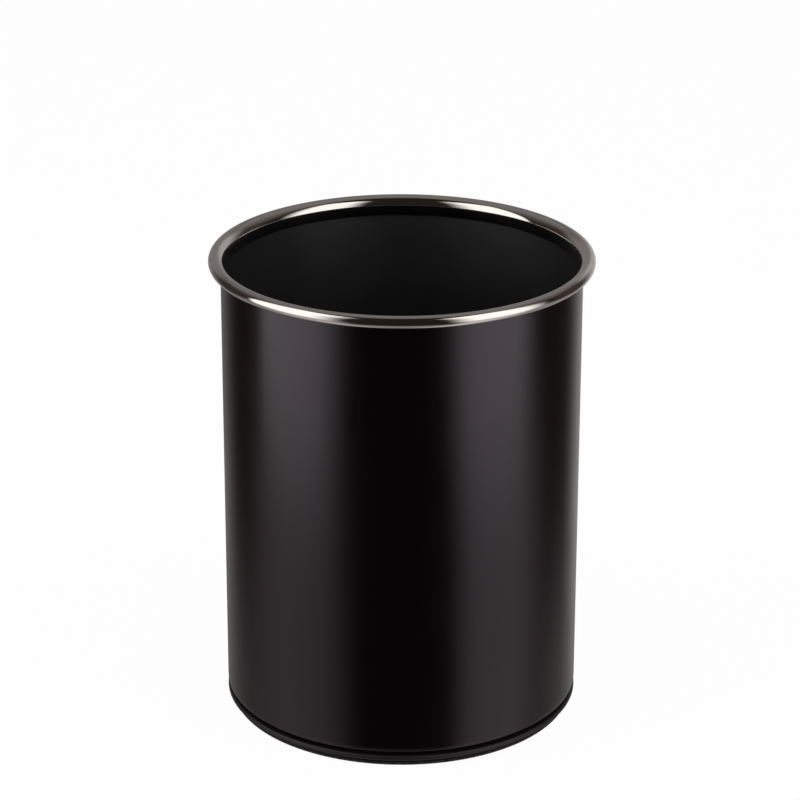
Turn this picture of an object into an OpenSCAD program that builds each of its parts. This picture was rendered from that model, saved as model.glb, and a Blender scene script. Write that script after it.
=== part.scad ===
// Rotating cutlery holder: a black steel cup with a polished rolled rim, which turns
// on a ring of balls over a flat, non-slip base.
// Millimetres, +Z up, origin at the centre of the face that stands on the table.

/* [Cup] */
// Height from the table to the crest of the rim
overall_h = 155.7; // [120:0.1:200]
// Outside diameter of the cup wall
wall_od = 117; // [100:1:150]
// Thickness of the wall's sheet
wall_t = 0.8; // [0.6:0.1:1.2]
// Height of the hem folded inside the wall's lower edge
hem_h = 3.2; // [2:0.1:4]
// Thickness of the floor's sheet
floor_t = 0.8; // [0.6:0.1:1.2]
// Outside radius of the bend between the floor and its flange
floor_bend_r = 1.8; // [1.4:0.1:2.2]

/* [Rim] */
// Diameter of the rolled bead
bead_d = 4; // [3.6:0.1:6]
// How far the bead's inner side lies inside the wall's outer face
bead_inset = 0.1; // [0:0.05:0.6]
// Thickness of the rim's sheet
rim_t = 0.5; // [0.3:0.05:0.7]
// Length of the straight leg that reaches down inside the wall
rim_leg = 3; // [2:0.1:6]

/* [Base] */
// Thickness of the base plate
base_t = 1.7; // [1.6:0.1:3]
// How far the base plate's edge stands inside the wall's outer face
base_setback = 0; // [0:0.1:2]
// Radius on the base plate's edges
base_edge_r = 0.6; // [0.3:0.1:0.7]
// Thickness of the non-slip pad
pad_t = 2.2; // [0.8:0.1:3]
// How far the pad's edge stands inside the base plate's
pad_setback = 1.7; // [0:0.1:3]
// Radius on the pad's edges
pad_edge_r = 0.2; // [0.2:0.05:0.35]
// Open height between the base plate and the wall's lower edge
skirt_gap = 1.3; // [1:0.1:2.5]
// Diameter of the hole that lets a nut spanner in through the base plate
access_d = 11; // [9:0.5:13]

/* [Ball bearing] */
// Diameter of a ball
ball_d = 5; // [4:0.5:6]
// Number of balls
ball_count = 16; // [10:1:20]
// Height between the faces of the two races
race_gap = 2.4; // [2:0.1:3]
// Metal left behind the groove of a race
race_floor = 0.85; // [0.7:0.05:1.2]
// Width of a race from the balls' circle out to its edge
race_land_out = 5; // [4:0.1:6]
// Width of a race from the balls' circle in to its edge
race_land_in = 9; // [8:0.1:11]
// Thickness of the ball cage
cage_t = 1.4; // [1:0.1:1.6]
// Radial width of the ball cage
cage_w = 7.6; // [7:0.1:9]

/* [Carrier plate] */
// Thickness of the carrier plate
carrier_t = 1.2; // [1:0.1:1.6]
// Space between the carrier plate's edge and the floor's flange
carrier_gap = 1.35; // [0.8:0.05:2]
// Diameter of the flat in the middle of the carrier plate's dish
dish_d = 28; // [24:1:32]
// Slope of the dish's wall, in degrees
dish_slope = 45; // [35:1:60]

/* [Pivot] */
// Diameter of the pivot stud
pivot_d = 6; // [5:0.5:7]
// Diameter of the stud's head, set flush in the base plate
pivot_head_d = 10; // [9:0.5:13]
// Thickness of the stud's head
pivot_head_t = 1; // [0.8:0.1:1.3]
// Clear height over the stud, below the cup floor
pivot_headroom = 0.9; // [0.5:0.1:1.2]
// Length of stud above the retaining ring
pivot_tip = 0.5; // [0.3:0.1:0.8]
// Outside diameter of the bush's body
bush_d = 10; // [9:0.5:12]
// Diameter of the bush's flange
bush_flange_d = 16; // [14:0.5:18]
// Thickness of the bush's flange
bush_flange_t = 1; // [0.8:0.1:1.4]
// Length of bush that shows below the carrier plate
bush_nose = 0.8; // [0.3:0.1:1]
// Outside diameter of the thrust washer
thrust_d = 15; // [13:0.5:17]
// Thickness of the thrust washer
thrust_t = 0.8; // [0.5:0.1:1]
// Outside diameter of the wave washer
wave_d = 13; // [12:0.5:14]
// Thickness of the wave washer's strip
wave_t = 0.4; // [0.3:0.05:0.5]
// Height of the wave washer as fitted
wave_h = 0.8; // [0.7:0.05:1]
// Number of waves round the wave washer
wave_count = 3; // [3:1:5]
// Thickness of the retaining ring
clip_t = 0.7; // [0.6:0.05:0.9]
// Radial width of the retaining ring
clip_w = 2; // [1.6:0.1:2.4]
// Depth of the stud's groove for the retaining ring
clip_groove = 0.3; // [0.2:0.05:0.4]
// Width of the opening in the retaining ring
clip_mouth = 1.6; // [1.2:0.1:2.2]
// Diameter of a plier lug on the retaining ring
clip_lug_d = 2.4; // [2.2:0.1:2.8]
// Diameter of the hole in a plier lug
clip_eye_d = 1.2; // [1:0.1:1.4]

/* [Fasteners] */
// Diameter of the studs welded under the floor
stud_d = 4; // [3:0.5:5]
// Number of welded studs
stud_count = 3; // [3:1:6]
// Length of stud that shows below its nut
stud_tip = 1; // [0.5:0.1:1.4]
// Width across the flats of a nut
nut_af = 7; // [6.5:0.1:8]
// Thickness of a nut
nut_h = 3.2; // [2.2:0.1:3.6]
// Distance from a nut's corners to the carrier plate's edge
nut_edge = 0.4; // [0.2:0.1:1]
// Distance from a nut's corners to the bearing
nut_side = 2; // [1:0.1:3]
// Radial width of a lock washer
lock_w = 1.4; // [1:0.1:1.6]
// Thickness of a lock washer
lock_t = 1; // [0.8:0.1:1.2]
// Width of the split in a lock washer
lock_split = 0.6; // [0.4:0.1:1]
// Diameter of a rivet
rivet_d = 3; // [2.5:0.1:3.4]
// Diameter of a rivet's countersunk ends
rivet_head_d = 4.8; // [4.2:0.1:5.2]
// Depth of a rivet's countersunk ends
rivet_head_h = 0.9; // [0.6:0.1:1]
// Number of rivets in each race
rivet_count = 6; // [3:1:8]
// Distance from a race's inner edge to its rivets
rivet_edge = 3.3; // [2.8:0.1:3.6]

/* [Fits] */
// Gap between pieces that are pressed or folded together
seat_gap = 0.05; // [0.02:0.01:0.08]
// Gap between the wall and the rim that is rolled over it
rim_gap = 0.1; // [0.05:0.01:0.15]
// Radial gap of the bush on the stud, and of a ball in its groove
running_gap = 0.05; // [0.02:0.01:0.08]
// Gap between flat faces that turn past each other
slide_gap = 0.1; // [0.05:0.01:0.2]
// Gap round a ball in its cage pocket
pocket_gap = 0.15; // [0.1:0.01:0.2]
// Gap round a welded stud in the carrier plate
stud_gap = 0.25; // [0.15:0.05:0.4]

/* [Hidden] */
$fn = 128;

// Heights, from the table up
base_top = pad_t + base_t;
skirt_z = base_top + skirt_gap;
hem_top = skirt_z + hem_h;
groove_r = ball_d / 2 + running_gap;
ball_z = base_top + race_floor + groove_r;
lower_race_top = ball_z - race_gap / 2;
upper_race_z = ball_z + race_gap / 2;
carrier_z = ball_z + groove_r + race_floor;
floor_z = carrier_z + carrier_t;
floor_top = floor_z + floor_t;

// Heights along the pivot, from its tip down
pivot_top = floor_z - pivot_headroom;
clip_z = pivot_top - pivot_tip - clip_t;
wave_z = clip_z - wave_h;
thrust_z = wave_z - thrust_t;
bush_flange_z = thrust_z - slide_gap - bush_flange_t;
dish_z = bush_flange_z - carrier_t;

// Heights of the fasteners under the carrier plate, from the plate down
lock_z = carrier_z - lock_t;
nut_z = lock_z - nut_h;

// Radii, from the wall in
wall_r = wall_od / 2;
wall_in = wall_r - wall_t;
base_r = wall_r - base_setback;
pad_r = base_r - pad_setback;
floor_r = wall_in - seat_gap;
flange_in = floor_r - floor_t;
carrier_r = flange_in - carrier_gap;
nut_corner_r = nut_af / 2 / cos(30);
stud_circle_r = carrier_r - nut_edge - nut_corner_r;
race_out = stud_circle_r - nut_corner_r - nut_side;
ball_circle_r = race_out - race_land_out;
race_in = ball_circle_r - race_land_in;
rivet_circle_r = race_in + rivet_edge;
pivot_r = pivot_d / 2;
clip_in = pivot_r - clip_groove + seat_gap;
clip_out = clip_in + clip_w;

// Section of the rim: a leg inside the wall, a flank up to the crest, and the bead
leg_out = wall_in - rim_gap;
leg_in = leg_out - rim_t;
crest_r = wall_r + bead_d / 2 - bead_inset;
flank_r = crest_r - leg_in;
flank_z = overall_h - flank_r;
bead_z = overall_h - bead_d / 2;
lip_turn = asin((crest_r - wall_r - rim_gap) / (bead_d / 2));
wall_tuck = sqrt(pow(flank_r - rim_t, 2) - pow(crest_r - wall_in, 2)) - rim_gap;
wall_top = flank_z + wall_tuck;

lacquer = "#161517";
polished = "#cfccc8";
bright_steel = "#b4b4b2";
zinc = "#a3a5a4";
dark_rubber = "#0e0e0e";
natural_nylon = "#d8d4c6";

// Copies of the children spread evenly on a circle
module around(count, radius) {
    for (i = [0 : count - 1]) {
        rotate(i * 360 / count) translate([radius, 0, 0]) children();
    }
}

// A flat ring or tube standing on height z
module tube(outer_r, inner_r, z, h) {
    translate([0, 0, z]) rotate_extrude() translate([inner_r, 0]) square([outer_r - inner_r, h]);
}

// A round hole right through a plate of height h that stands on height z
module drill(hole_r, z, h) {
    translate([0, 0, z - h]) cylinder(h = 3 * h, r = hole_r);
}

// A straight slit from the axis out along +X, right through a ring of height h
module slit(width, reach, z, h) {
    translate([0, -width / 2, z - h]) cube([reach, width, 3 * h]);
}

module ring_2d(outer_r, thickness) {
    difference() {
        circle(outer_r);
        circle(outer_r - thickness);
    }
}

// Half section of a disc whose two outer edges are rounded
module round_edge_disc_2d(disc_r, disc_h, edge_r) {
    square([disc_r - edge_r, disc_h]);
    translate([0, edge_r]) square([disc_r, disc_h - 2 * edge_r]);
    for (z = [edge_r, disc_h - edge_r]) translate([disc_r - edge_r, z]) circle(edge_r);
}

// A rivet with a flush countersunk end at each side; grow makes the hole that it fills
module rivet(length, grow = 0) {
    shank_r = rivet_d / 2 + grow;
    head_r = rivet_head_d / 2 + grow;
    whole = length + 2 * grow;
    translate([0, 0, -grow]) {
        cylinder(h = whole, r = shank_r);
        cylinder(h = rivet_head_h, r1 = head_r, r2 = shank_r);
        translate([0, 0, whole - rivet_head_h]) cylinder(h = rivet_head_h, r1 = shank_r, r2 = head_r);
    }
}

module upper_rivets(grow = 0) {
    around(rivet_count, rivet_circle_r)
        translate([0, 0, upper_race_z]) rivet(floor_z - upper_race_z, grow);
}

module lower_rivets(grow = 0) {
    around(rivet_count, rivet_circle_r)
        translate([0, 0, pad_t]) rivet(lower_race_top - pad_t, grow);
}

// The round track that both races share
module ball_track() {
    translate([0, 0, ball_z]) rotate_extrude() translate([ball_circle_r, 0]) circle(groove_r);
}

// Tube with a folded hem and a round lower edge
module cup_wall() {
    color(lacquer) rotate_extrude() {
        translate([wall_in, skirt_z + wall_t]) square([wall_t, wall_top - skirt_z - wall_t]);
        translate([wall_in - wall_t, skirt_z + wall_t]) square([2 * wall_t, hem_h - wall_t]);
        translate([wall_in, skirt_z + wall_t]) circle(wall_t);
    }
}

// Polished sheet rolled over the wall's upper edge
module rim_ring() {
    color(polished) rotate_extrude() {
        translate([leg_in, flank_z - rim_leg]) square([rim_t, rim_leg]);
        translate([crest_r, flank_z]) intersection() {
            ring_2d(flank_r, rim_t);
            rotate(90) square(flank_r);
        }
        translate([crest_r, bead_z]) difference() {
            ring_2d(bead_d / 2, rim_t);
            rotate(90) square(bead_d);
            rotate(180 - lip_turn) square(bead_d);
        }
    }
}

// Pressed disc whose flange stands on the wall's hem
module cup_floor() {
    bend_r = floor_r - floor_bend_r;
    bend_z = floor_top - floor_bend_r;
    color(lacquer) rotate_extrude() {
        translate([0, floor_z]) square([bend_r, floor_t]);
        translate([bend_r, bend_z]) intersection() {
            ring_2d(floor_bend_r, floor_t);
            square(floor_bend_r);
        }
        translate([flange_in, hem_top]) square([floor_t, bend_z - hem_top]);
    }
}

module weld_studs() {
    length = floor_z - nut_z + stud_tip;
    color(zinc) around(stud_count, stud_circle_r)
        translate([0, 0, floor_z - length]) cylinder(h = length, r = stud_d / 2);
}

// Dished plate under the floor: the bearing's upper race hangs from its outer flat
module carrier_plate() {
    bore_r = bush_d / 2 + seat_gap;
    dish_r = dish_d / 2;
    run = (carrier_z - dish_z) / tan(dish_slope);
    mitre = carrier_t * tan(dish_slope / 2);
    color(bright_steel) difference() {
        rotate_extrude() polygon([
            [bore_r, dish_z], [dish_r, dish_z], [dish_r + run, carrier_z], [carrier_r, carrier_z],
            [carrier_r, floor_z], [dish_r + run - mitre, floor_z],
            [dish_r - mitre, dish_z + carrier_t], [bore_r, dish_z + carrier_t]
        ]);
        around(stud_count, stud_circle_r) drill(stud_d / 2 + stud_gap, carrier_z, carrier_t);
        upper_rivets(seat_gap);
    }
}

module stud_lock_washers() {
    bore_r = stud_d / 2 + seat_gap;
    color(zinc) around(stud_count, stud_circle_r) difference() {
        tube(bore_r + lock_w, bore_r, lock_z, lock_t);
        slit(lock_split, bore_r + 2 * lock_w, lock_z, lock_t);
    }
}

module stud_nuts() {
    color(zinc) around(stud_count, stud_circle_r) difference() {
        translate([0, 0, nut_z]) cylinder(h = nut_h, r = nut_corner_r, $fn = 6);
        drill(stud_d / 2 + seat_gap, nut_z, nut_h);
    }
}

module upper_race() {
    color(bright_steel) difference() {
        tube(race_out, race_in, upper_race_z, carrier_z - upper_race_z);
        ball_track();
        upper_rivets(seat_gap);
    }
}

module upper_race_rivets() {
    color(zinc) upper_rivets();
}

// Flanged bush that turns with the carrier plate on the fixed stud
module pivot_bush() {
    bore_r = pivot_r + running_gap;
    color(natural_nylon) {
        tube(bush_d / 2, bore_r, dish_z - bush_nose, bush_nose + carrier_t + bush_flange_t);
        tube(bush_flange_d / 2, bore_r, bush_flange_z, bush_flange_t);
    }
}

module ball_cage() {
    cage_z = ball_z - cage_t / 2;
    color(natural_nylon) difference() {
        tube(ball_circle_r + cage_w / 2, ball_circle_r - cage_w / 2, cage_z, cage_t);
        around(ball_count, ball_circle_r) drill(ball_d / 2 + pocket_gap, cage_z, cage_t);
    }
}

module bearing_balls() {
    color(polished) around(ball_count, ball_circle_r) translate([0, 0, ball_z]) sphere(r = ball_d / 2);
}

module base_plate() {
    color(lacquer) difference() {
        translate([0, 0, pad_t]) rotate_extrude() round_edge_disc_2d(base_r, base_t, base_edge_r);
        lower_rivets(seat_gap);
        translate([0, 0, pad_t - pivot_head_t])
            cylinder(h = 2 * pivot_head_t, r = pivot_head_d / 2 + seat_gap);
        drill(pivot_r + seat_gap, pad_t, base_t);
        translate([stud_circle_r, 0, 0]) drill(access_d / 2, pad_t, base_t);
    }
}

module antislip_pad() {
    color(dark_rubber) rotate_extrude() round_edge_disc_2d(pad_r, pad_t, pad_edge_r);
}

module lower_race() {
    color(bright_steel) difference() {
        tube(race_out, race_in, base_top, lower_race_top - base_top);
        ball_track();
        lower_rivets(seat_gap);
    }
}

module lower_race_rivets() {
    color(zinc) lower_rivets();
}

// Stud with a flush head in the base plate and a groove for the retaining ring
module pivot_stud() {
    color(bright_steel) difference() {
        union() {
            translate([0, 0, pad_t]) cylinder(h = pivot_head_t, r = pivot_head_d / 2);
            translate([0, 0, pad_t]) cylinder(h = pivot_top - pad_t, r = pivot_r);
        }
        tube(pivot_d, pivot_r - clip_groove, clip_z - seat_gap, clip_t + 2 * seat_gap);
    }
}

module thrust_washer() {
    color(bright_steel) tube(thrust_d / 2, pivot_r + slide_gap, thrust_z, thrust_t);
}

// Strip ring bent in waves; its crests touch the retaining ring and its troughs the thrust washer
module wave_washer() {
    steps_per_wave = 16;
    steps = steps_per_wave * wave_count;
    sweep = (wave_h - wave_t) / 2 - seat_gap;
    mid_z = wave_z + wave_h / 2;
    radii = [pivot_r + slide_gap, wave_d / 2, wave_d / 2, pivot_r + slide_gap];
    sides = [-1, -1, 1, 1];
    points = [for (i = [0 : steps - 1]) for (k = [0 : 3])
        let (turn = i * 360 / steps, z = mid_z + sweep * cos(wave_count * turn) + sides[k] * wave_t / 2)
        [radii[k] * cos(turn), radii[k] * sin(turn), z]];
    faces = [for (i = [0 : steps - 1]) for (k = [0 : 3])
        let (a = 4 * i + k, b = 4 * i + (k + 1) % 4, c = 4 * ((i + 1) % steps) + k,
             d = 4 * ((i + 1) % steps) + (k + 1) % 4)
        each [[a, c, b], [b, c, d]]];
    color(bright_steel) polyhedron(points = points, faces = faces);
}

// Open ring with two plier lugs, sprung into the stud's groove
module retaining_ring() {
    lug_y = (clip_mouth + clip_lug_d) / 2;
    lug_x = sqrt(pow(clip_out, 2) - pow(lug_y, 2));
    color(bright_steel) difference() {
        union() {
            tube(clip_out, clip_in, clip_z, clip_t);
            for (side = [-1, 1]) translate([lug_x, side * lug_y, clip_z])
                cylinder(h = clip_t, r = clip_lug_d / 2);
        }
        slit(clip_mouth, 2 * clip_out, clip_z, clip_t);
        for (side = [-1, 1]) translate([lug_x, side * lug_y, 0]) drill(clip_eye_d / 2, clip_z, clip_t);
        drill(clip_in, clip_z, clip_t);
    }
}

cup_wall();
rim_ring();
cup_floor();
weld_studs();
carrier_plate();
stud_lock_washers();
stud_nuts();
upper_race();
upper_race_rivets();
pivot_bush();
ball_cage();
bearing_balls();
base_plate();
antislip_pad();
lower_race();
lower_race_rivets();
pivot_stud();
thrust_washer();
wave_washer();
retaining_ring();
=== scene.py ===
"""Looks of the rotating cutlery holder: a black lacquered cup with a polished rim on a turning base."""

import math

import bpy
from mathutils import Matrix, Vector


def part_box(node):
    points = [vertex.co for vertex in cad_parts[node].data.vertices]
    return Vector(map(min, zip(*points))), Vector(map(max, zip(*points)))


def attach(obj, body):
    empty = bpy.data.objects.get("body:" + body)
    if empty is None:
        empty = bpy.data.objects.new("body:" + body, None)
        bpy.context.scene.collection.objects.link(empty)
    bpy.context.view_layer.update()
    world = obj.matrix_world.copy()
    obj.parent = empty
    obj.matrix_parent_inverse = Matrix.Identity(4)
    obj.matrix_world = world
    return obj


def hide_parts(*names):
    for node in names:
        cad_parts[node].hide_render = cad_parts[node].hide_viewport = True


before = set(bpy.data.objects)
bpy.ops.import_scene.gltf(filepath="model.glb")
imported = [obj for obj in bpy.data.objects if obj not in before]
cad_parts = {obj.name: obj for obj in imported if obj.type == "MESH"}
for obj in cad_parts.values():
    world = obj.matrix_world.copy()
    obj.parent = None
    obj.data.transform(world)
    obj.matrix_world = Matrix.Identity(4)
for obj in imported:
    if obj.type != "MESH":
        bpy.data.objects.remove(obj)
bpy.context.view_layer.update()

# Corners of the larger nodes, in metres
WALL_LOW, WALL_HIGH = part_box("cup_wall")
RIM_LOW, RIM_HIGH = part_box("rim_ring")
FLOOR_LOW, FLOOR_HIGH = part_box("cup_floor")
BASE_LOW, BASE_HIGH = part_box("base_plate")
PAD_LOW, PAD_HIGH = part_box("antislip_pad")

# Units, clearance and edges
MM = 0.001
SEAT_GAP = 0.05 * MM
EASED = 0.15 * MM

# Wall, whose lower edge curls in to a folded hem
WALL_R = WALL_HIGH.x
WALL_T = 0.8 * MM
WALL_EDGE_R = 0.2 * MM
HEM_TOP = FLOOR_LOW.z
HEM_CREASE = 0.15 * MM
CURL_R = 7.0 * MM
CURL_ANGLE = 12.0

# Rim, rolled outwards from a leg inside the wall
RIM_T = 0.5 * MM
RIM_EDGE_R = 0.15 * MM
BEAD_R = 2.0 * MM
LEG_GAP = 0.1 * MM
LIP_ANGLE = -145.0

# Floor, base plate and pad
FLOOR_T = 0.8 * MM
FLOOR_BEND_R = 1.8 * MM
BASE_EDGE_R = 0.6 * MM
ACCESS_R = 5.5 * MM
PAD_EDGE_R = 0.2 * MM
# Above this height the pad's side is painted plain black, as painted shade under the base plate
PAINTED_SHADE_LOW = 0.9 * MM
PAINTED_SHADE_BLUR = 0.1 * MM

# Ball bearing
BALL_COUNT = 16
BALL_R = 2.5 * MM
BALL_CIRCLE_R = 40.02 * MM
GROOVE_R = BALL_R + SEAT_GAP
RACE_BORE_R = 31.02 * MM
POCKET_R = 2.65 * MM
CAGE_W = 7.6 * MM

# Rivets of the races
RIVET_COUNT = 6
RIVET_CIRCLE_R = 34.32 * MM
RIVET_R = 1.5 * MM
RIVET_HEAD_R = 2.4 * MM
RIVET_HEAD_H = 0.9 * MM
RIVET_DIMPLE_R = 0.9 * MM
RIVET_DIMPLE = 0.2 * MM

# Studs, nuts and lock washers
STUD_COUNT = 3
STUD_CIRCLE_R = 51.06 * MM
STUD_R = 2.0 * MM
STUD_BORE_R = STUD_R + SEAT_GAP
STUD_HOLE_R = 2.25 * MM
STUD_CHAMFER = 0.5 * MM
THREAD_PITCH = 0.7 * MM
THREAD_DEPTH = 0.43 * MM
THREAD_ROOT = 0.25
THREAD_CREST = 0.125
NUT_FLAT_R = 3.5 * MM
HALF_FLAT = math.radians(30)
NUT_CORNER_R = NUT_FLAT_R / math.cos(HALF_FLAT)
NUT_CHAMFER = 0.4 * MM
NUT_MOUTH = 0.3 * MM
LOCK_R = 3.45 * MM
LOCK_SPLIT = 0.6 * MM
LOCK_SLANT = math.radians(20)

# Pivot, bush, washers and circlip
PIVOT_R = 3.0 * MM
PIVOT_BORE_R = PIVOT_R + SEAT_GAP
PIVOT_HEAD_R = 5.0 * MM
PIVOT_HEAD_T = 1.0 * MM
PIVOT_CHAMFER = 0.3 * MM
BUSH_R = 5.0 * MM
BUSH_FLANGE_T = 1.0 * MM
WASHER_BORE_R = PIVOT_R + 2 * SEAT_GAP
WAVE_T = 0.4 * MM
WAVE_COUNT = 3
CLIP_BORE_R = 2.75 * MM
CLIP_R = 4.75 * MM
CLIP_MOUTH = 1.6 * MM
CLIP_LUG_R = 1.2 * MM
CLIP_EYE_R = 0.6 * MM

# Carrier plate
CARRIER_T = 1.2 * MM
CARRIER_BORE_R = BUSH_R + SEAT_GAP
DISH_R = 14.0 * MM
DISH_SLOPE = 45.0
DISH_BEND_R = 0.6 * MM

# Meshes and cutters
SEGMENTS = 192
CLIP_SEGMENTS = 128
NUT_SEGMENTS = 96
HOLE_SEGMENTS = 64
RIVET_SEGMENTS = 48
THREAD_SEGMENTS = 32
SPARE_TURNS = 4
ARC_STEPS = 10
LIP_STEPS = 6
EDGE_STEPS = 4
EASED_STEPS = 3
SHARP_ANGLE = math.radians(35)
AXIS_R = 0.5 * MM
NEAR = 0.001 * MM
THROUGH = 10.0 * MM
DRILL_DEPTH = 40.0 * MM


# Modelling tools

def deselect():
    bpy.ops.object.select_all(action="DESELECT")


def choose(piece):
    """Only this piece is selected, and it is the active one."""
    deselect()
    piece.select_set(True)
    bpy.context.view_layer.objects.active = piece


def new_piece(name):
    """The primitive that was just added, named, with its place in its mesh."""
    piece = bpy.context.active_object
    piece.name = piece.data.name = name
    bpy.ops.object.transform_apply(location=True, rotation=True, scale=True)
    return piece


def edit_whole():
    """Edit mode, with the whole mesh selected."""
    bpy.ops.object.mode_set(mode="EDIT")
    bpy.ops.mesh.select_all(action="SELECT")


def arc(r, z, radius, start, end, steps=ARC_STEPS):
    """Points of a section on a circle round (r, z), between two angles: 0 points outwards, 90 up."""
    turns = [math.radians(start + (end - start) * i / steps) for i in range(steps + 1)]
    return [(r + radius * math.cos(t), z + radius * math.sin(t)) for t in turns]


def turned(name, section, capped=False, segments=SEGMENTS):
    """A turned piece: a circle is extruded from each (radius, height) of its section to the next."""
    deselect()
    r, z = section[0]
    fill = "NGON" if capped else "NOTHING"
    bpy.ops.mesh.primitive_circle_add(vertices=segments, radius=r, fill_type=fill, location=(0, 0, z))
    piece = new_piece(name)
    edit_whole()
    for next_r, next_z in section[1:]:
        bpy.ops.mesh.extrude_region_move(TRANSFORM_OT_translate={"value": (0, 0, next_z - z)})
        bpy.ops.transform.resize(value=(next_r / r, next_r / r, 1), center_override=(0, 0, 0))
        r, z = next_r, next_z
    bpy.ops.mesh.select_all(action="SELECT")
    bpy.ops.mesh.remove_doubles(threshold=NEAR)
    bpy.ops.mesh.normals_make_consistent(inside=False)
    bpy.ops.object.mode_set(mode="OBJECT")
    bpy.ops.object.shade_smooth_by_angle(angle=SHARP_ANGLE)
    return piece


def ring(inner, outer, low, high, edge, upper=(), under=()):
    """Closed section of a flat ring with eased edges, whose faces may hold the points of a groove."""
    section = arc(inner + edge, high - edge, edge, 180, 90, EASED_STEPS)
    section += upper
    section += arc(outer - edge, high - edge, edge, 90, 0, EASED_STEPS)
    section += arc(outer - edge, low + edge, edge, 0, -90, EASED_STEPS)
    section += under
    section += arc(inner + edge, low + edge, edge, -90, -180, EASED_STEPS)
    return section + section[:1]


def join(pieces):
    """Several pieces as one object, under the first one's name."""
    choose(pieces[0])
    for piece in pieces[1:]:
        piece.select_set(True)
    if len(pieces) > 1:
        bpy.ops.object.join()
    return pieces[0]


def combine(piece, other, operation):
    """A boolean of two closed pieces, after which the other one is gone."""
    choose(piece)
    modifier = piece.modifiers.new("combine", "BOOLEAN")
    modifier.operation = operation
    modifier.solver = "EXACT"
    modifier.object = other
    bpy.ops.object.modifier_apply(modifier="combine")
    bpy.data.objects.remove(other)
    bpy.ops.object.shade_smooth_by_angle(angle=SHARP_ANGLE)


def cut(piece, cutters):
    """The cutters, which don't touch one another, are taken out of the piece."""
    combine(piece, join(cutters), "DIFFERENCE")


def around(count, radius):
    """Places spread evenly on a circle."""
    turns = [2 * math.pi * i / count for i in range(count)]
    return [(radius * math.cos(turn), radius * math.sin(turn)) for turn in turns]


def copies_around(piece, count, radius):
    """Copies of a piece made on the axis, turned and spread evenly on a circle, as one object."""
    name = piece.name
    made = []
    for i, (x, y) in enumerate(around(count, radius)):
        choose(piece)
        bpy.ops.object.duplicate()
        copy = bpy.context.active_object
        copy.location = (x, y, 0)
        copy.rotation_euler.z = 2 * math.pi * i / count
        bpy.ops.object.transform_apply(location=True, rotation=True, scale=True)
        made.append(copy)
    bpy.data.objects.remove(piece)
    whole = join(made)
    whole.name = whole.data.name = name
    return whole


def drill(x, y, radius):
    """Cutter for a round hole right through a piece."""
    bpy.ops.mesh.primitive_cylinder_add(vertices=HOLE_SEGMENTS, radius=radius, depth=DRILL_DEPTH,
                                        location=(x, y, 0))
    return bpy.context.active_object


def bore(section):
    """Cutter for a hole on the axis whose radius changes along it."""
    return turned("cutter", section, capped=True, segments=HOLE_SEGMENTS)


def slit(width, reach, z, slant=0.0):
    """Cutter for a slit that runs from the axis out along +X, and may lean."""
    bpy.ops.mesh.primitive_cube_add(size=1, location=(reach / 2, 0, z), rotation=(slant, 0, 0),
                                    scale=(reach, width, reach))
    return bpy.context.active_object


def rivet_holes(piece, face_z, upward):
    """Holes for the rivets, countersunk on the face at this height."""
    side = 1 if upward else -1
    shank_r = RIVET_R + SEAT_GAP
    head_r = RIVET_HEAD_R + SEAT_GAP
    head_z = face_z + side * SEAT_GAP
    hole = bore([(shank_r, face_z - side * THROUGH), (shank_r, head_z - side * RIVET_HEAD_H),
                 (head_r, head_z), (head_r, face_z + side * THROUGH)])
    cut(piece, [copies_around(hole, RIVET_COUNT, RIVET_CIRCLE_R)])


def thread(name, low, high, crest_r):
    """Threaded rod: one pitch of the thread's outline is wound up a screw, and its ends are cut flat."""
    deselect()
    start = low - SPARE_TURNS / 2 * THREAD_PITCH
    bpy.ops.mesh.primitive_plane_add(size=MM, location=(crest_r - THREAD_DEPTH, 0, start))
    rod = new_piece(name)
    edit_whole()
    bpy.ops.mesh.merge(type="CENTER")
    flank = (1 - THREAD_ROOT - THREAD_CREST) / 2
    outline = ((0, THREAD_ROOT), (THREAD_DEPTH, flank), (0, THREAD_CREST), (-THREAD_DEPTH, flank))
    for out, share in outline:
        step = (out, 0, share * THREAD_PITCH)
        bpy.ops.mesh.extrude_region_move(TRANSFORM_OT_translate={"value": step})
    bpy.ops.object.mode_set(mode="OBJECT")
    screw = rod.modifiers.new("screw", "SCREW")
    screw.screw_offset = THREAD_PITCH
    screw.iterations = int((high - low) / THREAD_PITCH) + SPARE_TURNS
    screw.steps = screw.render_steps = THREAD_SEGMENTS
    bpy.ops.object.modifier_apply(modifier="screw")
    edit_whole()
    bpy.ops.mesh.remove_doubles(threshold=NEAR)
    bpy.ops.mesh.bisect(plane_co=(0, 0, low), plane_no=(0, 0, 1), use_fill=True, clear_inner=True,
                        threshold=NEAR)
    bpy.ops.mesh.select_all(action="SELECT")
    bpy.ops.mesh.bisect(plane_co=(0, 0, high), plane_no=(0, 0, 1), use_fill=True, clear_outer=True,
                        threshold=NEAR)
    bpy.ops.mesh.select_all(action="SELECT")
    bpy.ops.mesh.normals_make_consistent(inside=False)
    bpy.ops.object.mode_set(mode="OBJECT")
    return rod


# Cup

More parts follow.
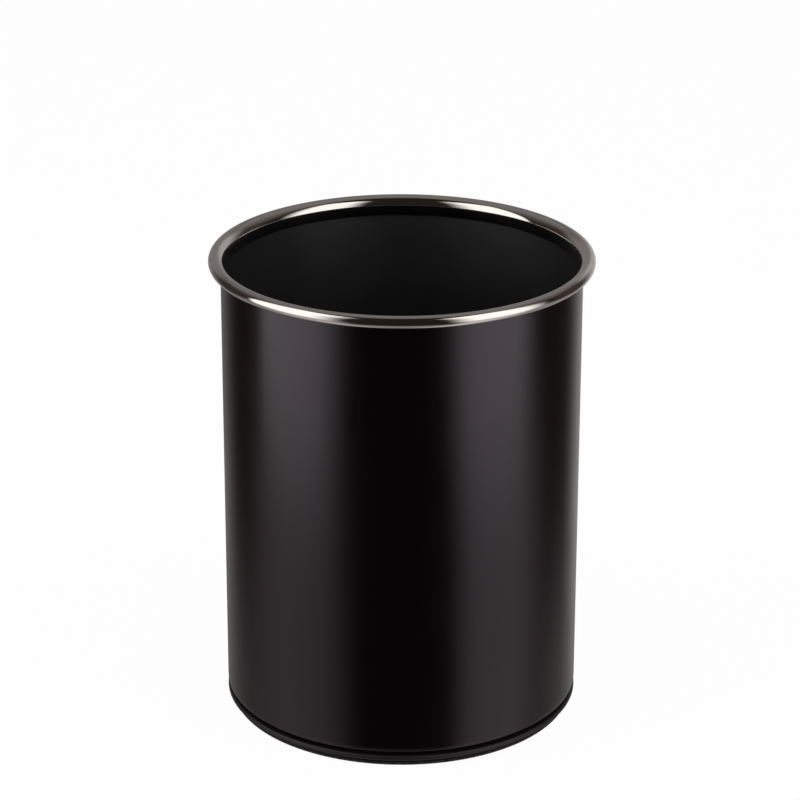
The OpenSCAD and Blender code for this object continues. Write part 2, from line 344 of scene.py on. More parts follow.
def lacquered_wall():
    """Tube whose lower edge draws in a little and folds inwards into a flattened hem."""
    top = WALL_HIGH.z
    inner_r = WALL_R - WALL_T
    edge = WALL_EDGE_R
    curl = math.radians(CURL_ANGLE)
    fold_r = WALL_R - CURL_R + (CURL_R - WALL_T) * math.cos(curl)
    fold_z = WALL_LOW.z + WALL_T
    curl_z = fold_z + (CURL_R - WALL_T) * math.sin(curl)
    hem_r = fold_r - WALL_T
    section = [(WALL_R, curl_z)]
    section += arc(WALL_R - edge, top - edge, edge, 0, 90, EDGE_STEPS)
    section += arc(inner_r + edge, top - edge, edge, 90, 180, EDGE_STEPS)
    section += [(inner_r, HEM_TOP - HEM_CREASE)]
    section += arc(hem_r + edge, HEM_TOP - edge, edge, 90, 180, EDGE_STEPS)
    section += arc(fold_r, fold_z, WALL_T, 180, 360 - CURL_ANGLE, 2 * ARC_STEPS)
    section += arc(WALL_R - CURL_R, curl_z, CURL_R, -CURL_ANGLE, 0)[1:]
    return turned("lacquered_wall", section)


def rolled_rim():
    """Sheet that stands inside the wall, rises to the crest and rolls outwards into an open bead."""
    top = RIM_HIGH.z
    crest_r = RIM_HIGH.x - BEAD_R
    bead_z = top - BEAD_R
    leg_out = WALL_R - WALL_T - LEG_GAP
    leg_in = leg_out - RIM_T
    flank_r = crest_r - leg_in
    flank_z = top - flank_r
    edge = RIM_EDGE_R
    lip_r = BEAD_R - RIM_T / 2
    lip = math.radians(LIP_ANGLE)
    section = arc(leg_out - edge, RIM_LOW.z + edge, edge, -90, 0, EDGE_STEPS)
    section += arc(crest_r, flank_z, flank_r - RIM_T, 180, 90)
    section += arc(crest_r, bead_z, BEAD_R - RIM_T, 90, LIP_ANGLE, 3 * ARC_STEPS)[1:]
    section += arc(crest_r + lip_r * math.cos(lip), bead_z + lip_r * math.sin(lip), RIM_T / 2,
                   LIP_ANGLE - 180, LIP_ANGLE - 360, LIP_STEPS)[1:-1]
    section += arc(crest_r, bead_z, BEAD_R, LIP_ANGLE, 90, 4 * ARC_STEPS)
    section += arc(crest_r, flank_z, flank_r, 90, 180, 2 * ARC_STEPS)[1:]
    section += arc(leg_in + edge, RIM_LOW.z + edge, edge, 180, 270, EDGE_STEPS)
    section += section[:1]
    return turned("rolled_rim", section)


def pressed_floor():
    """Disc with a flange bent down round its edge."""
    floor_r = FLOOR_HIGH.x
    top = FLOOR_HIGH.z
    bend_r = floor_r - FLOOR_BEND_R
    bend_z = top - FLOOR_BEND_R
    section = [(AXIS_R, top)]
    section += arc(bend_r, bend_z, FLOOR_BEND_R, 90, 0)
    section += [(floor_r, FLOOR_LOW.z), (floor_r - FLOOR_T, FLOOR_LOW.z)]
    section += arc(bend_r, bend_z, FLOOR_BEND_R - FLOOR_T, 0, 90)
    section += [(AXIS_R, top - FLOOR_T)]
    return turned("pressed_floor", section, capped=True)


def threaded_studs():
    """Studs welded under the floor, threaded for their nuts and chamfered at the tip."""
    low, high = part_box("weld_studs")
    stud = thread("threaded_studs", low.z, high.z, STUD_R)
    tip_r = STUD_R - STUD_CHAMFER
    sleeve_r = STUD_R + SEAT_GAP
    blank = turned("blank", [(tip_r, low.z), (sleeve_r, low.z + sleeve_r - tip_r), (sleeve_r, high.z)],
                   capped=True, segments=HOLE_SEGMENTS)
    combine(stud, blank, "INTERSECT")
    return copies_around(stud, STUD_COUNT, STUD_CIRCLE_R)


def hex_nuts():
    """Hexagon nuts whose corners are turned off at both ends."""
    low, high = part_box("stud_nuts")
    deselect()
    bpy.ops.mesh.primitive_cylinder_add(vertices=6, radius=NUT_CORNER_R, depth=high.z - low.z,
                                        location=(0, 0, (low.z + high.z) / 2),
                                        rotation=(0, 0, HALF_FLAT))
    nut = new_piece("hex_nuts")
    face_r = NUT_FLAT_R - SEAT_GAP
    barrel_r = NUT_CORNER_R + SEAT_GAP
    blank = turned("blank", [(face_r, low.z), (barrel_r, low.z + NUT_CHAMFER),
                             (barrel_r, high.z - NUT_CHAMFER), (face_r, high.z)],
                   capped=True, segments=NUT_SEGMENTS)
    combine(nut, blank, "INTERSECT")
    mouth_r = STUD_BORE_R + NUT_MOUTH + SEAT_GAP
    mouth_low, mouth_high = low.z - SEAT_GAP, high.z + SEAT_GAP
    hole = bore([(mouth_r, low.z - THROUGH), (mouth_r, mouth_low), (STUD_BORE_R, low.z + NUT_MOUTH),
                 (STUD_BORE_R, high.z - NUT_MOUTH), (mouth_r, mouth_high), (mouth_r, high.z + THROUGH)])
    cut(nut, [hole])
    return copies_around(nut, STUD_COUNT, STUD_CIRCLE_R)


def spring_washers():
    """Split lock washers, pressed flat between the nuts and the carrier."""
    low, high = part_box("stud_lock_washers")
    section = ring(STUD_BORE_R, LOCK_R, low.z, high.z, EASED)
    washer = turned("spring_washers", section, segments=NUT_SEGMENTS)
    cut(washer, [slit(LOCK_SPLIT, 2 * LOCK_R, (low.z + high.z) / 2, LOCK_SLANT)])
    return copies_around(washer, STUD_COUNT, STUD_CIRCLE_R)


def dished_carrier():
    """Plate pressed into a dish, with rounded bends, and holes for the bush, studs and rivets."""
    low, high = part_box("carrier_plate")
    edge = EASED
    sharp, wide = DISH_BEND_R, DISH_BEND_R + CARRIER_T
    flat_z = high.z - CARRIER_T
    half = math.tan(math.radians(DISH_SLOPE / 2))
    run = (flat_z - low.z) / math.tan(math.radians(DISH_SLOPE))
    dish = (DISH_R - wide * half, low.z + wide)
    brim = (DISH_R + run + sharp * half, flat_z - sharp)
    section = [(CARRIER_BORE_R, low.z)]
    section += arc(*dish, wide, -90, DISH_SLOPE - 90)
    section += arc(*brim, sharp, DISH_SLOPE + 90, 90)
    section += arc(high.x - edge, flat_z + edge, edge, -90, 0, EASED_STEPS)
    section += arc(high.x - edge, high.z - edge, edge, 0, 90, EASED_STEPS)
    section += arc(*brim, wide, 90, DISH_SLOPE + 90)
    section += arc(*dish, sharp, DISH_SLOPE - 90, -90)
    section += [(CARRIER_BORE_R, low.z + CARRIER_T), (CARRIER_BORE_R, low.z)]
    plate = turned("dished_carrier", section)
    cut(plate, [drill(x, y, STUD_HOLE_R) for x, y in around(STUD_COUNT, STUD_CIRCLE_R)])
    rivet_holes(plate, high.z, upward=True)
    return plate


def flanged_bush():
    """Plain bearing in the carrier's bore, with its flange on top."""
    low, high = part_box("pivot_bush")
    flange_z = high.z - BUSH_FLANGE_T
    edge = EASED
    section = arc(PIVOT_BORE_R + edge, low.z + edge, edge, 180, 270, EASED_STEPS)
    section += arc(BUSH_R - edge, low.z + edge, edge, -90, 0, EASED_STEPS)
    section += [(BUSH_R, flange_z)]
    section += arc(high.x - edge, flange_z + edge, edge, -90, 0, EASED_STEPS)
    section += arc(high.x - edge, high.z - edge, edge, 0, 90, EASED_STEPS)
    section += arc(PIVOT_BORE_R + edge, high.z - edge, edge, 90, 180, EASED_STEPS)
    section += section[:1]
    return turned("flanged_bush", section)


# Bearing

def ball_height():
    low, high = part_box("bearing_balls")
    return (low.z + high.z) / 2


def lower_track():
    """Race on the base plate, with its groove on top and the rivets' heads sunk in beside it."""
    low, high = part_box("lower_race")
    ball_z = ball_height()
    lean = math.degrees(math.asin((ball_z - high.z) / GROOVE_R))
    groove = arc(BALL_CIRCLE_R, ball_z, GROOVE_R, lean - 180, -lean, 2 * ARC_STEPS)
    track = turned("lower_track", ring(RACE_BORE_R, high.x, low.z, high.z, EASED, upper=groove))
    rivet_holes(track, high.z, upward=True)
    return track


def upper_track():
    """Race under the carrier, with its groove below."""
    low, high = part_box("upper_race")
    ball_z = ball_height()
    lean = math.degrees(math.asin((low.z - ball_z) / GROOVE_R))
    groove = arc(BALL_CIRCLE_R, ball_z, GROOVE_R, lean, 180 - lean, 2 * ARC_STEPS)
    track = turned("upper_track", ring(RACE_BORE_R, high.x, low.z, high.z, EASED, under=groove))
    rivet_holes(track, low.z, upward=False)
    return track


def pocketed_cage():
    """Flat ring that keeps the balls apart, each in its own pocket."""
    low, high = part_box("ball_cage")
    cage = turned("pocketed_cage", ring(high.x - CAGE_W, high.x, low.z, high.z, EASED))
    cut(cage, [drill(x, y, POCKET_R) for x, y in around(BALL_COUNT, BALL_CIRCLE_R)])
    return cage


def rivets(name, node):
    """Rivets with a flush countersunk end at each side, dimpled where they were set."""
    low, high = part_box(node)
    bottom, top = low.z, high.z
    dent_r, dent = RIVET_DIMPLE_R, RIVET_DIMPLE
    section = [(dent_r - dent, bottom + dent), (dent_r, bottom), (RIVET_HEAD_R - SEAT_GAP, bottom)]
    section += [(RIVET_HEAD_R, bottom + SEAT_GAP), (RIVET_R, bottom + RIVET_HEAD_H)]
    section += [(RIVET_R, top - RIVET_HEAD_H), (RIVET_HEAD_R, top - SEAT_GAP)]
    section += [(RIVET_HEAD_R - SEAT_GAP, top), (dent_r, top), (dent_r - dent, top - dent)]
    rivet = turned(name, section, capped=True, segments=RIVET_SEGMENTS)
    return copies_around(rivet, RIVET_COUNT, RIVET_CIRCLE_R)


# Base

def base_disc():
    """Round plate with eased edges, seats for the rivets and the pivot, and a hole to reach the nuts."""
    base_r = BASE_HIGH.x
    low, high = BASE_LOW.z, BASE_HIGH.z
    edge = BASE_EDGE_R
    recess_r = PIVOT_HEAD_R + SEAT_GAP
    recess = low + PIVOT_HEAD_T
    section = [(PIVOT_BORE_R, recess), (PIVOT_BORE_R, high)]
    section += arc(base_r - edge, high - edge, edge, 90, 0)
    section += arc(base_r - edge, low + edge, edge, 0, -90)
    section += [(recess_r, low), (recess_r, recess), (PIVOT_BORE_R, recess)]
    disc = turned("base_disc", section)
    cut(disc, [drill(STUD_CIRCLE_R, 0, ACCESS_R)])
    rivet_holes(disc, low, upward=False)
    return disc


def grip_pad():
    """Die-cut rubber disc, glued under the base plate."""
    pad_r = PAD_HIGH.x
    edge = PAD_EDGE_R
    section = [(AXIS_R, PAD_LOW.z)]
    section += arc(pad_r - edge, PAD_LOW.z + edge, edge, -90, 0, EDGE_STEPS)
    section += arc(pad_r - edge, PAD_HIGH.z - edge, edge, 0, 90, EDGE_STEPS)
    section += [(AXIS_R, PAD_HIGH.z)]
    return turned("grip_pad", section, capped=True)


def pivot_pin():
    """Fixed stud on which the cup turns: a flat head, a plain shank and a groove for the circlip."""
    low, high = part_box("pivot_stud")
    clip_low, clip_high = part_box("retaining_ring")
    groove_r = CLIP_BORE_R - SEAT_GAP
    chamfer = PIVOT_CHAMFER
    section = [(AXIS_R, low.z), (PIVOT_HEAD_R - EASED, low.z), (PIVOT_HEAD_R, low.z + EASED)]
    section += [(PIVOT_HEAD_R, low.z + PIVOT_HEAD_T), (PIVOT_R, low.z + PIVOT_HEAD_T)]
    section += [(PIVOT_R, clip_low.z - SEAT_GAP), (groove_r, clip_low.z - SEAT_GAP)]
    section += [(groove_r, clip_high.z + SEAT_GAP), (PIVOT_R, clip_high.z + SEAT_GAP)]
    section += [(PIVOT_R, high.z - chamfer), (PIVOT_R - chamfer, high.z), (AXIS_R, high.z)]
    return turned("pivot_pin", section, capped=True)


def thrust_disc():
    """Flat washer that the bush's flange runs against."""
    low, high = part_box("thrust_washer")
    return turned("thrust_disc", ring(WASHER_BORE_R, high.x, low.z, high.z, EASED))


def wave_spring():
    """Strip ring bent in waves, which takes up the play along the pivot."""
    low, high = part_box("wave_washer")
    middle = (low.z + high.z) / 2
    half = WAVE_T / 2
    sweep = (high.z - low.z - WAVE_T) / 2
    spring = turned("wave_spring", ring(WASHER_BORE_R, high.x, middle - half, middle + half, half / 2))
    for vertex in spring.data.vertices:
        turn = math.atan2(vertex.co.y, vertex.co.x)
        vertex.co.z += sweep * math.cos(WAVE_COUNT * turn)
    return spring


def circlip():
    """Open ring in the pin's groove, with an eye for pliers in each of its two lugs."""
    low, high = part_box("retaining_ring")
    middle = (low.z + high.z) / 2
    lug_y = CLIP_MOUTH / 2 + CLIP_LUG_R
    lug_x = math.sqrt(CLIP_R ** 2 - lug_y ** 2)
    eyes = [(lug_x, -lug_y), (lug_x, lug_y)]
    section = [(CLIP_BORE_R, low.z), (CLIP_R, low.z), (CLIP_R, high.z), (CLIP_BORE_R, high.z)]
    clip = turned("circlip", section + section[:1], segments=CLIP_SEGMENTS)
    for x, y in eyes:
        bpy.ops.mesh.primitive_cylinder_add(vertices=HOLE_SEGMENTS, radius=CLIP_LUG_R,
                                            depth=high.z - low.z, location=(x, y, middle))
        combine(clip, bpy.context.active_object, "UNION")
    cut(clip, [slit(CLIP_MOUTH, 2 * CLIP_R, middle)])
    cut(clip, [drill(x, y, CLIP_EYE_R) for x, y in eyes])
    cut(clip, [drill(0, 0, CLIP_BORE_R)])
    return clip


# Tools for materials. Each adds nodes to a tree, and gives back the sockets of their results

NOISE_REACH = (0.3, 0.7)
TURN_LENGTH = 0.4 * MM


def maths(tree, operation, first, second=None):
    """A math node. Its second value is a socket or a number."""
    node = tree.nodes.new("ShaderNodeMath")
    node.operation = operation
    tree.links.new(first, node.inputs[0])
    if isinstance(second, float):
        node.inputs[1].default_value = second
    elif second is not None:
        tree.links.new(second, node.inputs[1])
    return node.outputs["Value"]


def vector_maths(tree, operation, vector, result):
    node = tree.nodes.new("ShaderNodeVectorMath")
    node.operation = operation
    tree.links.new(vector, node.inputs[0])
    return node.outputs[result]


def parts(tree, vector):
    """The X, Y and Z of a vector."""
    node = tree.nodes.new("ShaderNodeSeparateXYZ")
    tree.links.new(vector, node.inputs["Vector"])
    return node.outputs["X"], node.outputs["Y"], node.outputs["Z"]


def vector_of(tree, *values):
    node = tree.nodes.new("ShaderNodeCombineXYZ")
    for value, socket in zip(values, node.inputs):
        tree.links.new(value, socket)
    return node.outputs["Vector"]


def ramp(tree, value, start, end, low, high, smooth=True):
    """The value between start and end, turned into a number between low and high."""
    node = tree.nodes.new("ShaderNodeMapRange")
    node.interpolation_type = "SMOOTHSTEP" if smooth else "LINEAR"
    node.inputs["From Min"].default_value = start
    node.inputs["From Max"].default_value = end
    node.inputs["To Min"].default_value = low
    node.inputs["To Max"].default_value = high
    tree.links.new(value, node.inputs["Value"])
    return node.outputs["Result"]


def noise(tree, place, scale, detail):
    node = tree.nodes.new("ShaderNodeTexNoise")
    node.inputs["Scale"].default_value = scale
    node.inputs["Detail"].default_value = detail
    tree.links.new(place, node.inputs["Vector"])
    return node.outputs["Fac"]


def spread(tree, value, low, high):
    """A noise, over the reach that it mostly keeps to, spread over a range."""
    return ramp(tree, value, *NOISE_REACH, low, high, smooth=False)


def blend_colours(tree, share, first, second):
    node = tree.nodes.new("ShaderNodeMix")
    node.data_type = "RGBA"
    node.inputs["A"].default_value = (*first, 1)
    node.inputs["B"].default_value = (*second, 1)
    tree.links.new(share, node.inputs["Factor"])
    return node.outputs["Result"]


def bump(tree, height, distance):
    node = tree.nodes.new("ShaderNodeBump")
    node.inputs["Distance"].default_value = distance
    tree.links.new(height, node.inputs["Height"])
    return node.outputs["Normal"]


def object_place(tree):
    return tree.nodes.new("ShaderNodeTexCoord").outputs["Object"]


def round_place(tree):
    """Coordinates of a round piece: a slow one along the turn, then the radius and the height."""
    x, y, z = parts(tree, object_place(tree))
    along = maths(tree, "MULTIPLY", maths(tree, "ARCTAN2", y, x), TURN_LENGTH)
    radius = vector_maths(tree, "LENGTH", vector_of(tree, x, y), "Value")
    return vector_of(tree, along, radius, z)


# Materials

def new_material(name):
    """A material, its node tree, and the inputs of its shader."""
    mat = bpy.data.materials.new(name)
    mat.use_nodes = True
    return mat, mat.node_tree, mat.node_tree.nodes["Principled BSDF"].inputs


def set_surface(tree, inputs, colour, roughness, normal):
    """The three inputs of the shader that vary over every finish."""
    tree.links.new(colour, inputs["Base Color"])
    tree.links.new(roughness, inputs["Roughness"])
    tree.links.new(normal, inputs["Normal"])


def satin_lacquer():
    """Sprayed black lacquer: almost smooth, with a faint orange peel and an uneven sheen."""
    mat, tree, inputs = new_material("satin_lacquer")
    place = object_place(tree)
    cloud = noise(tree, place, scale=60, detail=3)
    peel = noise(tree, place, scale=900, detail=1)
    colour = blend_colours(tree, cloud, (0.0005, 0.0003, 0.0005), (0.0009, 0.0006, 0.0009))
    set_surface(tree, inputs, colour, spread(tree, cloud, 0.22, 0.25), bump(tree, peel, 0.002 * MM))
    inputs["Specular Tint"].default_value = (1.0, 0.87, 1.0, 1)
    return mat


def inner_lacquer():
    """The same black inside the cup, sprayed thinner: duller, with a dry grain."""
    mat, tree, inputs = new_material("inner_lacquer")
    place = object_place(tree)
    cloud = noise(tree, place, scale=45, detail=3)
    grain = noise(tree, place, scale=1500, detail=2)
    colour = blend_colours(tree, cloud, (0.008, 0.0072, 0.008), (0.014, 0.0128, 0.014))
    set_surface(tree, inputs, colour, spread(tree, cloud, 0.42, 0.52), bump(tree, grain, 0.006 * MM))
    return mat


def polished_steel():
    """Buffed stainless sheet, with fine lines that run round the piece."""
    mat, tree, inputs = new_material("polished_steel")
    lines = noise(tree, round_place(tree), scale=9000, detail=2)
    cloud = noise(tree, object_place(tree), scale=120, detail=2)
    colour = blend_colours(tree, cloud, (0.60, 0.575, 0.555), (0.66, 0.635, 0.615))
    set_surface(tree, inputs, colour, spread(tree, lines, 0.05, 0.10), bump(tree, lines, 0.0002 * MM))
    inputs["Metallic"].default_value = 1.0
    return mat


def textured_lacquer():
    """Stoved black lacquer with a fine pebbled grain, on the base plate."""
    mat, tree, inputs = new_material("textured_lacquer")
    grain = noise(tree, object_place(tree), scale=1300, detail=2)
    colour = blend_colours(tree, grain, (0.002, 0.0018, 0.002), (0.012, 0.011, 0.012))
    set_surface(tree, inputs, colour, spread(tree, grain, 0.42, 0.58), bump(tree, grain, 0.13 * MM))
    inputs["Specular Tint"].default_value = (1.0, 0.90, 0.99, 1)
    return mat


def grip_rubber():
    """Matt black foam rubber with pale specks, with painted shade: plain black along its top, under the
    base plate.
    """
    mat, tree, inputs = new_material("grip_rubber")
    place = object_place(tree)
    height = parts(tree, place)[2]
    grain = noise(tree, place, scale=1300, detail=2)
    specks = ramp(tree, grain, 0.42, 0.62, 0.2, 1)
    # Painted shade: the specks give way to plain black towards the top of the pad, under the base plate
    below_painted_shade = ramp(tree, height, PAINTED_SHADE_LOW, PAINTED_SHADE_LOW + PAINTED_SHADE_BLUR, 1, 0)
    specks_outside_painted_shade = maths(tree, "MULTIPLY", specks, below_painted_shade)
    colour = blend_colours(tree, specks_outside_painted_shade, (0.0012, 0.001, 0.0012), (0.042, 0.038, 0.04))
    set_surface(tree, inputs, colour, spread(tree, grain, 0.75, 0.95), bump(tree, grain, 0.15 * MM))
    inputs["Specular IOR Level"].default_value = 0.25
    return mat


def rolled_steel():
    """Bright bearing steel, turned in fine rings."""
    mat, tree, inputs = new_material("rolled_steel")
    rings = noise(tree, round_place(tree), scale=5000, detail=3)
    colour = blend_colours(tree, rings, (0.40, 0.40, 0.39), (0.52, 0.52, 0.51))
    set_surface(tree, inputs, colour, spread(tree, rings, 0.22, 0.36), bump(tree, rings, 0.002 * MM))
    inputs["Metallic"].default_value = 1.0
    return mat


def zinc_plating():
    """Zinc on small fasteners: pale, slightly blue, with a cloudy sheen."""
    mat, tree, inputs = new_material("zinc_plating")
    cloud = noise(tree, object_place(tree), scale=700, detail=4)
    colour = blend_colours(tree, cloud, (0.42, 0.44, 0.45), (0.56, 0.58, 0.58))
    set_surface(tree, inputs, colour, spread(tree, cloud, 0.28, 0.5), bump(tree, cloud, 0.004 * MM))
    inputs["Metallic"].default_value = 1.0
    return mat


def moulded_nylon():
    """Natural nylon with a cloudy cream colour and a fine moulded grain."""
    mat, tree, inputs = new_material("moulded_nylon")
    place = object_place(tree)
    cloud = noise(tree, place, scale=300, detail=3)
    grain = noise(tree, place, scale=4000, detail=2)
    colour = blend_colours(tree, cloud, (0.60, 0.57, 0.48), (0.70, 0.67, 0.58))
    set_surface(tree, inputs, colour, spread(tree, grain, 0.42, 0.55), bump(tree, grain, 0.004 * MM))
    return mat


# Camera, in metres, fitted to the photograph's edges

CAMERA_PLACE = (0.0, -0.96177, 0.48540)
CAMERA_PITCH = math.radians(21.6066)
CAMERA_ROLL = math.radians(0.1075)
CAMERA_YAW = math.radians(0.0320)
FOCAL_PIXELS = 3154.5
PICTURE_PIXELS = 800.0
SENSOR = 36.0


def set_camera():
    data = bpy.data.cameras.new("photo_camera")
    data.sensor_width = SENSOR
    data.lens = FOCAL_PIXELS / PICTURE_PIXELS * SENSOR
    camera = bpy.data.objects.new("photo_camera", data)
    bpy.context.scene.collection.objects.link(camera)
    turn = Matrix.Rotation(CAMERA_YAW, 4, "Z")
    tilt = Matrix.Rotation(math.pi / 2 - CAMERA_PITCH, 4, "X")
    roll = Matrix.Rotation(CAMERA_ROLL, 4, "Z")
    camera.matrix_world = Matrix.Translation(CAMERA_PLACE) @ turn @ tilt @ roll
    bpy.context.scene.camera = camera


# Studio, in metres. A glow of 1 is white

WORLD_GLOW = 0.5
FLOOR_SIZE = 14.0
FLOOR_COLOUR = (0.85, 0.85, 0.85, 1)
FLOOR_GLOW = 0.97
LIGHT_DISTANCE = 0.62
LIGHT_LOW = -0.15
LIGHT_HIGH = 1.3
LIGHT_FOOT = 0.17
LIGHT_COLOUR = (1.0, 0.975, 0.94)
ROOM_R = 3.0


def seen_rays(tree):
    """1 for rays from the camera, and for those mirrored or let through by a surface."""
    path = tree.nodes.new("ShaderNodeLightPath").outputs
    seen = maths(tree, "MAXIMUM", path["Is Camera Ray"], path["Is Glossy Ray"])
    return maths(tree, "MAXIMUM", seen, path["Is Transmission Ray"])


def set_world():
    """White where it is seen, and a dimmer even light on what it falls on."""
    world = bpy.data.worlds.new("white_room")
    bpy.context.scene.world = world
    world.use_nodes = True
    tree = world.node_tree
    background = tree.nodes["Background"].inputs
    background["Color"].default_value = (1, 1, 1, 1)
    tree.links.new(ramp(tree, seen_rays(tree), 0, 1, WORLD_GLOW, 1), background["Strength"])


def stage_material(name):
    """An empty material for the floor or the room, with its node tree and its output."""
    mat = bpy.data.materials.new(name)
    mat.use_nodes = True
    tree = mat.node_tree
    tree.nodes.clear()
    return mat, tree, tree.nodes.new("ShaderNodeOutputMaterial").inputs["Surface"]


def white_floor():
    """Pale floor that glows to white where it is seen, and still takes the shadow."""
    deselect()
    bpy.ops.mesh.primitive_plane_add(size=FLOOR_SIZE)
    floor = bpy.context.active_object
    floor.name = "white_floor"
    mat, tree, surface = stage_material("white_floor")
    paper = tree.nodes.new("ShaderNodeBsdfDiffuse")
    paper.inputs["Color"].default_value = FLOOR_COLOUR
    glow = tree.nodes.new("ShaderNodeEmission")
    mix = tree.nodes.new("ShaderNodeMixShader")
    tree.links.new(ramp(tree, seen_rays(tree), 0, 1, 0, FLOOR_GLOW), mix.inputs["Fac"])
    tree.links.new(paper.outputs["BSDF"], mix.inputs[1])
    tree.links.new(glow.outputs["Emission"], mix.inputs[2])
    tree.links.new(mix.outputs["Shader"], surface)
    floor.data.materials.append(mat)
    floor.visible_glossy = False


def softbox(name, azimuth, width, radiance, front_fade, rear_fade):
    """A tall soft light, at an angle from the front, that fades towards its sides and its foot."""
    turn = math.radians(azimuth)
    height = LIGHT_HIGH - LIGHT_LOW
    place = Vector((math.sin(turn) * LIGHT_DISTANCE, -math.cos(turn) * LIGHT_DISTANCE,
                    (LIGHT_LOW + LIGHT_HIGH) / 2))
    data = bpy.data.lights.new(name, "AREA")
    data.shape = "RECTANGLE"
    data.size = width
    data.size_y = height
    data.energy = radiance * math.pi * width * height
    data.color = LIGHT_COLOUR
    data.use_nodes = True
    tree = data.node_tree
    across, upward = parts(tree, tree.nodes.new("ShaderNodeNewGeometry").outputs["Parametric"])[:2]
    left_fade, right_fade = (rear_fade, front_fade) if azimuth < 0 else (front_fade, rear_fade)
    left = ramp(tree, across, 0, left_fade, 0, 1)
    right = ramp(tree, across, 1 - right_fade, 1, 1, 0)
    foot = ramp(tree, upward, 0, LIGHT_FOOT / height, 0, 1)
    glow = maths(tree, "MULTIPLY", maths(tree, "MULTIPLY", left, right), foot)
    tree.links.new(glow, tree.nodes["Emission"].inputs["Strength"])
    light = bpy.data.objects.new(name, data)
    bpy.context.scene.collection.objects.link(light)
    facing = Vector((place.x, place.y, 0)).to_track_quat("Z", "Y")
    light.matrix_world = Matrix.Translation(place) @ facing.to_matrix().to_4x4()
    light.visible_camera = False


# The room that lacquer and metal mirror, by direction. Turns are in degrees from the front rightwards,
# and rises in degrees above the level. Sides run from -1, left, to 1, right, and depths from -1, front,
# to 1, back. Two numbers say where a fade starts and ends. Two glows or shares are its two levels

LEFT_POOL_TURNS = (-118, -78, -56, -24)
LEFT_POOL_GLOW = 0.55
RIGHT_POOL_TURNS = (29, 49, 75, 109)
RIGHT_POOL_GLOW = 0.74
POOL_RISE = (-16, -12)
GAP_TURN = (88, 112)
GAP_RISE = (-27, -18)
GAP_GLOW = (0.24, 0.03)
GAP_SIDE = (-0.6, 0.6)
GAP_SIDE_SHARE = (0.86, 1.25)
BACK_TURN = (124, 152)
BACK_SIDE = (0.0, 0.35)
BACK_GLOW = (0.24, 0.55)
BACK_FOOT_RISE = (-27, -20)
BACK_FOOT_SHARE = (0.10, 1)
BACK_RISE = (-12, 12)
BACK_SHARE = (1, 0.8)
BACK_TOP_RISE = (22, 40)
CEILING_RISE = (20, 40)
CEILING_GLOW = (0, 0.19)
CEILING_DEPTH = (-0.1, 0.2)
CEILING_SIDE = (0.3, 0.75)
CEILING_SIDE_SHARE = (1, 0.35)
GROUND_RISE = (-52, -32)
GROUND_GLOW = (0.27, 0)
ROOM_GLOW = 0.022
TINT_FADE = (0.02, 0.12)
DIM_TINT = (1.0, 0.77, 0.67)
LIT_TINT = (1.0, 0.94, 0.905)


def product(tree, *factors):
    whole = factors[0]
    for factor in factors[1:]:
        whole = maths(tree, "MULTIPLY", whole, factor)
    return whole


def pool(tree, turn, turns, glow):
    """A glow that fades in over the first two turns and out over the last two."""
    start = ramp(tree, turn, *turns[:2], 0, 1)
    end = ramp(tree, turn, *turns[2:], 1, 0)
    return product(tree, start, end, glow)


def mirrored_room():
    """Light by direction: pools on the ground, gaps behind the softboxes, back, ceiling and ground."""
    mat, tree, surface = stage_material("mirrored_room")
    side, depth, height = parts(tree, vector_maths(tree, "NORMALIZE", object_place(tree), "Vector"))
    ahead = maths(tree, "MULTIPLY", depth, -1.0)
    turn = maths(tree, "DEGREES", maths(tree, "ARCTAN2", side, ahead))
    rise = maths(tree, "DEGREES", maths(tree, "ARCSINE", height))
    off_front = maths(tree, "ABSOLUTE", turn)
    off_middle = maths(tree, "ABSOLUTE", side)
    gaps = product(tree, ramp(tree, off_front, *GAP_TURN, 0, 1),
                   ramp(tree, rise, *GAP_RISE, *GAP_GLOW),
                   ramp(tree, side, *GAP_SIDE, *GAP_SIDE_SHARE))
    back = product(tree, ramp(tree, off_front, *BACK_TURN, 0, 1),
                   ramp(tree, side, *BACK_SIDE, *BACK_GLOW),
                   ramp(tree, rise, *BACK_TOP_RISE, 1, 0),
                   ramp(tree, rise, *BACK_FOOT_RISE, *BACK_FOOT_SHARE),
                   ramp(tree, rise, *BACK_RISE, *BACK_SHARE))
    ceiling = product(tree, ramp(tree, rise, *CEILING_RISE, *CEILING_GLOW),
                      ramp(tree, depth, *CEILING_DEPTH, 0, 1),
                      ramp(tree, off_middle, *CEILING_SIDE, *CEILING_SIDE_SHARE))
    below = ramp(tree, rise, *POOL_RISE, 1, 0)
    left_pool = pool(tree, turn, LEFT_POOL_TURNS, product(tree, below, LEFT_POOL_GLOW))
    right_pool = pool(tree, turn, RIGHT_POOL_TURNS, product(tree, below, RIGHT_POOL_GLOW))
    glow = maths(tree, "MAXIMUM", back, ceiling)
    for light in (left_pool, right_pool, gaps):
        glow = maths(tree, "ADD", glow, light)
    glow = maths(tree, "MAXIMUM", glow, ramp(tree, rise, *GROUND_RISE, *GROUND_GLOW))
    tint = blend_colours(tree, ramp(tree, glow, *TINT_FADE, 0, 1), DIM_TINT, LIT_TINT)
    emission = tree.nodes.new("ShaderNodeEmission")
    tree.links.new(tint, emission.inputs["Color"])
    tree.links.new(maths(tree, "ADD", glow, ROOM_GLOW), emission.inputs["Strength"])
    tree.links.new(emission.outputs["Emission"], surface)
    return mat


def studio_room():
    """Sphere round the set that shows only in reflections."""
    deselect()
    bpy.ops.mesh.primitive_uv_sphere_add(segments=64, ring_count=32, radius=ROOM_R)
    room = bpy.context.active_object
    room.name = "studio_room"
    room.data.materials.append(mirrored_room())
    room.visible_camera = False
    room.visible_diffuse = False
    room.visible_transmission = False
    room.visible_volume_scatter = False
    room.visible_shadow = False


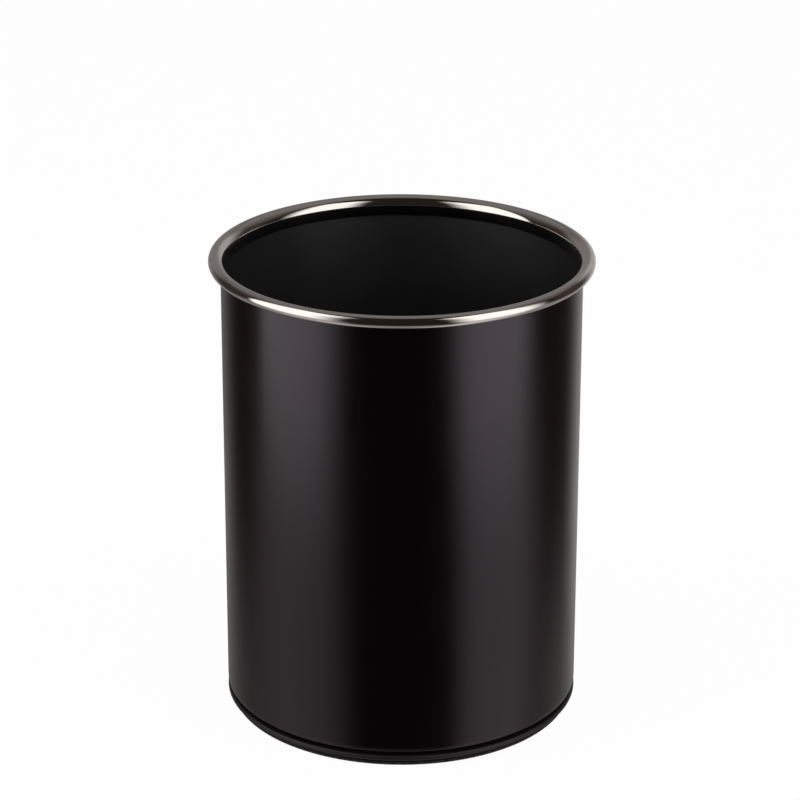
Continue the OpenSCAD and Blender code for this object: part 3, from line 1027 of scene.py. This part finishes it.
def set_studio():
    set_world()
    white_floor()
    softbox("left_softbox", azimuth=-63.0, width=0.80, radiance=1.65, front_fade=0.4, rear_fade=0.1)
    softbox("right_softbox", azimuth=57.5, width=0.82, radiance=1.62, front_fade=0.32, rear_fade=0.34)
    studio_room()
    bpy.context.scene.view_settings.view_transform = "Standard"


# Assembly

def paint(piece, mat):
    piece.data.materials.clear()
    piece.data.materials.append(mat)


def paint_inside(piece, mat, radius):
    """A second finish on the faces that lie within a radius of the axis."""
    piece.data.materials.append(mat)
    for face in piece.data.polygons:
        if face.center.xy.length < radius:
            face.material_index = 1


def fit(piece, body, node):
    """The piece rides on a body and stands for a node of the frame."""
    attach(piece, body)
    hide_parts(node)


lacquer = satin_lacquer()
inside = inner_lacquer()
steel = polished_steel()
race_steel = rolled_steel()
zinc = zinc_plating()
nylon = moulded_nylon()

wall = lacquered_wall()
paint(wall, lacquer)
paint_inside(wall, inside, WALL_R - WALL_T / 2)
fit(wall, "cup", "cup_wall")

pieces = [
    (rolled_rim(), steel, "cup", "rim_ring", "polished_rim"),
    (pressed_floor(), inside, "cup", "cup_floor", "black_lacquer"),
    (threaded_studs(), zinc, "cup", "weld_studs", "zinc_plate"),
    (hex_nuts(), zinc, "cup", "stud_nuts", "zinc_plate"),
    (spring_washers(), zinc, "cup", "stud_lock_washers", "zinc_plate"),
    (dished_carrier(), race_steel, "cup", "carrier_plate", "bearing_steel"),
    (upper_track(), race_steel, "cup", "upper_race", "bearing_steel"),
    (rivets("upper_rivets", "upper_race_rivets"), zinc, "cup", "upper_race_rivets", "zinc_plate"),
    (flanged_bush(), nylon, "cup", "pivot_bush", "natural_nylon"),
    (pocketed_cage(), nylon, "cage", "ball_cage", "natural_nylon"),
    (lower_track(), race_steel, "base", "lower_race", "bearing_steel"),
    (rivets("lower_rivets", "lower_race_rivets"), zinc, "base", "lower_race_rivets", "zinc_plate"),
    (pivot_pin(), race_steel, "base", "pivot_stud", "bearing_steel"),
    (thrust_disc(), race_steel, "base", "thrust_washer", "bearing_steel"),
    (wave_spring(), race_steel, "base", "wave_washer", "bearing_steel"),
    (circlip(), race_steel, "base", "retaining_ring", "bearing_steel"),
    (base_disc(), textured_lacquer(), "base", "base_plate", "base_lacquer"),
    (grip_pad(), grip_rubber(), "base", "antislip_pad", "antislip_rubber"),
]
for piece, finish, body, node, slot in pieces:
    paint(piece, finish)
    fit(piece, body, node)

for material_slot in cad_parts["bearing_balls"].material_slots:
    material_slot.material = steel

set_studio()
set_camera()
